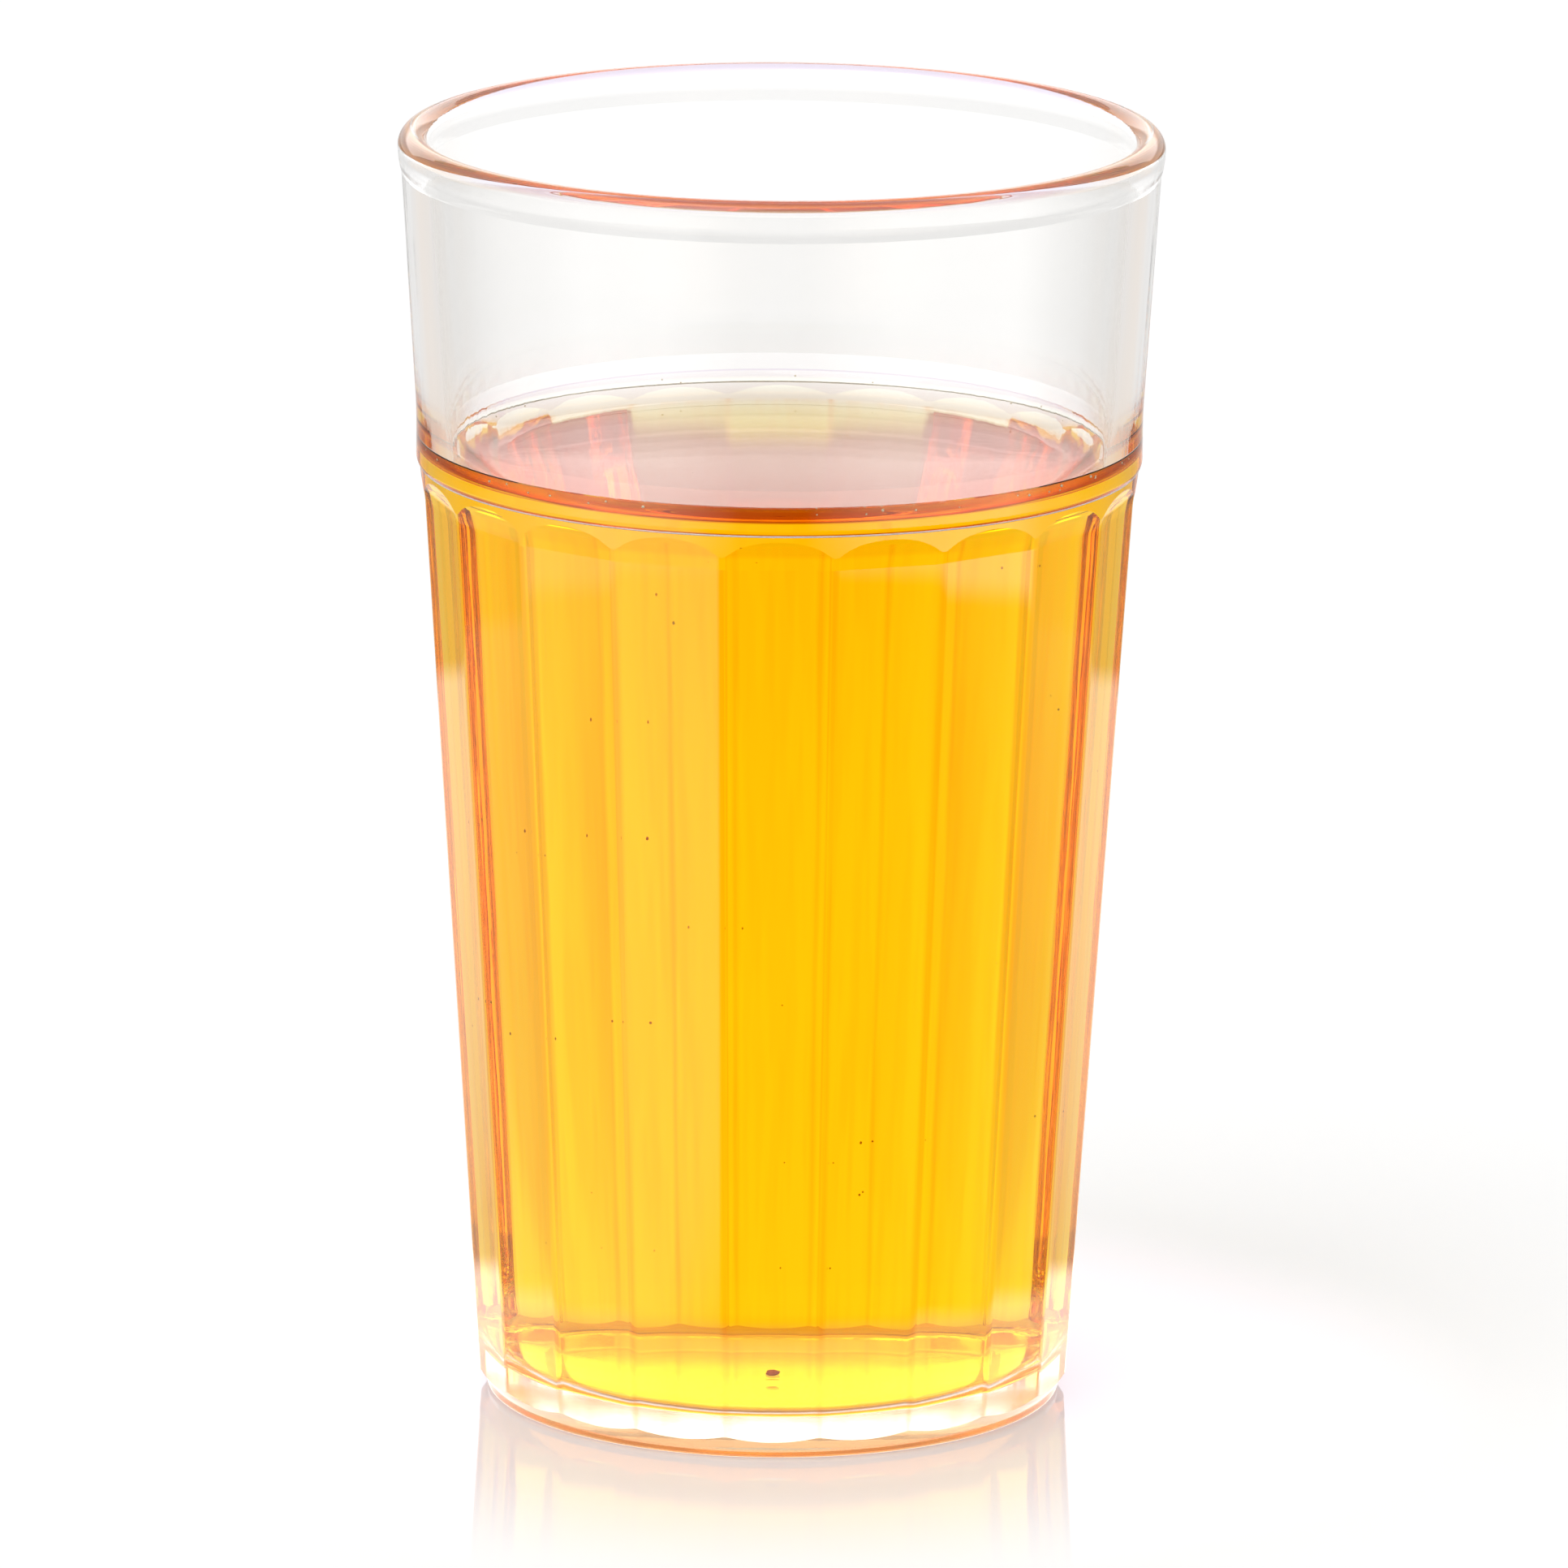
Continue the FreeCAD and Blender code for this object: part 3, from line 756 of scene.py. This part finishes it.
# A painted contact shadow darkens the paper and its glow close to the foot.
CONTACT_SHADOW = (0.82, 0.79, 0.78)
CONTACT_SHADOW_FADE = (0.027, 0.066)
SHEEN_COLOUR, SHEEN_ROUGHNESS, SHEEN_IOR = (0.85, 0.74, 0.85), 0.04, 1.5
SHEEN_FADE = (0.035, 0.072)
POOL_COLOUR = (0.46, 0.18, 0.005)
POOL_EDGE = (0.064, 0.072)
STEEP_COLOUR = (0.91, 0.85, 1.0)
GLOSS_FACING = (0.3, 0.7)
WORLD_LIGHT = 0.5

BACK_EDGES, BACK_TOP, BACK_WIDTH = (0.375, 0.4, 0.42, 0.44, 0.46), 1.07, 2.4
BACK_DISTANCE, BACK_SPACING, BACK_RADIANCE = 1.7, 0.01, 1.3
TOP_PLACE, TOP_TARGET = (-0.5, -0.5, 1.3), (0, 0, 0.05)
TOP_SIZE, TOP_RADIANCE = (0.9, 0.9), 2.0

CAMERA_PLACE = (0, -1.3395, 0.37698)
CAMERA_PITCH, CAMERA_YAW, CAMERA_ROLL = 0.2334, 0.0005, 0.0076
SENSOR_WIDTH, FOCAL_LENGTH = 36.0, 333.92
CLIP_START, CLIP_END = 0.05, 20.0
LIGHT_BOUNCES = 48


def make_floor():
    """White paper that the camera sees lit, with a painted shadow round the foot, and the tumbler
    sees as cards and tones.
    """
    mesh = bpy.data.meshes.new("floor")
    mesh.from_pydata([(x * FLOOR_HALF, y * FLOOR_HALF, -FLOOR_DROP)
                      for x, y in ((-1, -1), (1, -1), (1, 1), (-1, 1))], [], [(0, 1, 2, 3)])
    material, nodes, links, shader, output = new_material("white_floor")
    nodes.remove(shader)
    geometry = nodes.new("ShaderNodeNewGeometry")
    place = geometry.outputs["Position"]
    radius = place_radius(nodes, links, place)
    path = nodes.new("ShaderNodeLightPath")
    glossy, through = path.outputs["Is Glossy Ray"], path.outputs["Is Transmission Ray"]
    cards = mixed_colour(nodes, links, smooth_range(nodes, links, radius, *CARD_EDGE),
                         round_tone(nodes, links, place, CARD_TONES),
                         round_tone(nodes, links, place, CLEAR_TONES))
    cards = mixed_colour(nodes, links, smooth_range(nodes, links, radius, *FOOT_CARD_EDGE),
                         FOOT_CARD, cards)
    near = mixed_colour(nodes, links, smooth_range(nodes, links, radius, *NEAR_EDGE),
                        round_tone(nodes, links, place, NEAR_TONES),
                        round_tone(nodes, links, place, FAR_TONES))
    far = mixed_colour(nodes, links, smooth_range(nodes, links, radius, *FAR_EDGE),
                       near, round_tone(nodes, links, place, WALL_TONES))
    # The floor is lit through the juice close to the tumbler, but its gloss hides that
    # in a low view.
    facing = nodes.new("ShaderNodeLayerWeight")
    gloss = smooth_range(nodes, links, facing.outputs["Facing"], *GLOSS_FACING)
    outside = smooth_range(nodes, links, radius, *POOL_EDGE)
    pool = mixed_colour(nodes, links, gloss,
                        mixed_colour(nodes, links, outside, POOL_COLOUR, STEEP_COLOUR), far)
    in_glass = nodes.new("ShaderNodeEmission")
    links.new(mixed_colour(nodes, links, through, cards, pool), in_glass.inputs["Color"])
    paper = nodes.new("ShaderNodeBsdfDiffuse")
    # Painted contact shadow: darker paper and glow close to the foot.
    shade = smooth_range(nodes, links, radius, *CONTACT_SHADOW_FADE)
    shaded_white = tuple(white * part for white, part in zip(FLOOR_WHITE, CONTACT_SHADOW))
    links.new(mixed_colour(nodes, links, shade, shaded_white, FLOOR_WHITE),
              paper.inputs["Color"])
    glow = nodes.new("ShaderNodeEmission")
    links.new(mixed_colour(nodes, links, shade, CONTACT_SHADOW, WHITE), glow.inputs["Color"])
    links.new(math_node(nodes, links, "MULTIPLY", path.outputs["Is Camera Ray"], CAMERA_GLOW),
              glow.inputs["Strength"])
    sheen = nodes.new("ShaderNodeBsdfGlossy")
    sheen.inputs["Roughness"].default_value = SHEEN_ROUGHNESS
    sheen.inputs["Color"].default_value = (*SHEEN_COLOUR, 1)
    fresnel = nodes.new("ShaderNodeFresnel")
    fresnel.inputs["IOR"].default_value = SHEEN_IOR
    mixed = nodes.new("ShaderNodeMixShader")
    fade = smooth_range(nodes, links, radius, *SHEEN_FADE, 1.0, 0.0)
    links.new(math_node(nodes, links, "MULTIPLY", fade, fresnel.outputs[0]),
              mixed.inputs["Fac"])
    links.new(paper.outputs[0], mixed.inputs[1])
    links.new(sheen.outputs[0], mixed.inputs[2])
    total = nodes.new("ShaderNodeAddShader")
    links.new(mixed.outputs[0], total.inputs[0])
    links.new(glow.outputs[0], total.inputs[1])
    shown = nodes.new("ShaderNodeMixShader")
    links.new(math_node(nodes, links, "MAXIMUM", glossy, through), shown.inputs["Fac"])
    links.new(total.outputs[0], shown.inputs[1])
    links.new(in_glass.outputs[0], shown.inputs[2])
    links.new(shown.outputs[0], output.inputs["Surface"])
    add_object("floor", mesh, material)


def make_world():
    """White all round where it is seen, and dimmer as a light."""
    world = bpy.data.worlds.new("studio")
    bpy.context.scene.world = world
    world.use_nodes = True
    nodes, links = world.node_tree.nodes, world.node_tree.links
    background = nodes["Background"]
    place = nodes.new("ShaderNodeTexCoord").outputs["Generated"]
    path = nodes.new("ShaderNodeLightPath")
    glossy, through = path.outputs["Is Glossy Ray"], path.outputs["Is Transmission Ray"]
    tone = mixed_colour(nodes, links, glossy, WHITE,
                        round_tone(nodes, links, place, SKY_TONES))
    shown = math_node(nodes, links, "MAXIMUM", path.outputs["Is Camera Ray"],
                      math_node(nodes, links, "MAXIMUM", glossy, through))
    strength = math_node(nodes, links, "MULTIPLY_ADD", shown, 1.0 - WORLD_LIGHT, WORLD_LIGHT)
    links.new(tone, background.inputs["Color"])
    links.new(strength, background.inputs["Strength"])


def add_softbox(name, place, target, size, radiance):
    """Flat lamp: radiance is how bright its face looks, where 1 is white."""
    data = bpy.data.lights.new(name, "AREA")
    data.shape = "RECTANGLE"
    data.size, data.size_y = size
    data.energy = radiance * math.pi * size[0] * size[1]
    lamp = bpy.data.objects.new(name, data)
    bpy.context.scene.collection.objects.link(lamp)
    lamp.location = place
    aim = Vector(target) - Vector(place)
    lamp.rotation_euler = aim.to_track_quat("-Z", "Y").to_euler()
    lamp.visible_camera = False


def make_lamps():
    """A back softbox that fades out downwards, in steps, and a top one."""
    for step, low in enumerate(BACK_EDGES):
        middle = (low + BACK_TOP) / 2
        add_softbox(f"back_softbox_{step}", (0.0, BACK_DISTANCE + BACK_SPACING * step, middle),
                    (0, 0, middle), (BACK_WIDTH, BACK_TOP - low),
                    BACK_RADIANCE / len(BACK_EDGES))
    add_softbox("top_softbox", TOP_PLACE, TOP_TARGET, TOP_SIZE, TOP_RADIANCE)


def make_camera():
    """Camera at the photographed angle: a long lens, 13 degrees above the level."""
    data = bpy.data.cameras.new("camera")
    data.sensor_width, data.lens = SENSOR_WIDTH, FOCAL_LENGTH
    data.clip_start, data.clip_end = CLIP_START, CLIP_END
    camera = bpy.data.objects.new("camera", data)
    bpy.context.scene.collection.objects.link(camera)
    level = Vector((math.cos(CAMERA_YAW), -math.sin(CAMERA_YAW), 0))
    forward = Vector((math.sin(CAMERA_YAW) * math.cos(CAMERA_PITCH),
                      math.cos(CAMERA_YAW) * math.cos(CAMERA_PITCH), -math.sin(CAMERA_PITCH)))
    up = level.cross(forward)
    right = level * math.cos(CAMERA_ROLL) + up * math.sin(CAMERA_ROLL)
    top = up * math.cos(CAMERA_ROLL) - level * math.sin(CAMERA_ROLL)
    camera.matrix_world = Matrix((right, top, -forward)).transposed().to_4x4()
    camera.matrix_world.translation = Vector(CAMERA_PLACE)
    bpy.context.scene.camera = camera


def set_view():
    """Plain view colours, and enough bounces to see through both walls and the juice."""
    scene = bpy.context.scene
    scene.view_settings.view_transform = "Standard"
    scene.cycles.max_bounces = LIGHT_BOUNCES
    scene.cycles.transmission_bounces = LIGHT_BOUNCES
    scene.cycles.glossy_bounces = LIGHT_BOUNCES


make_tumbler(plastic_material())
make_juice(juice_material())
make_step_highlight()
make_gate_mark()
random.seed(4)
make_specks()
make_bubbles()
make_floor()
make_world()
make_lamps()
make_camera()
set_view()
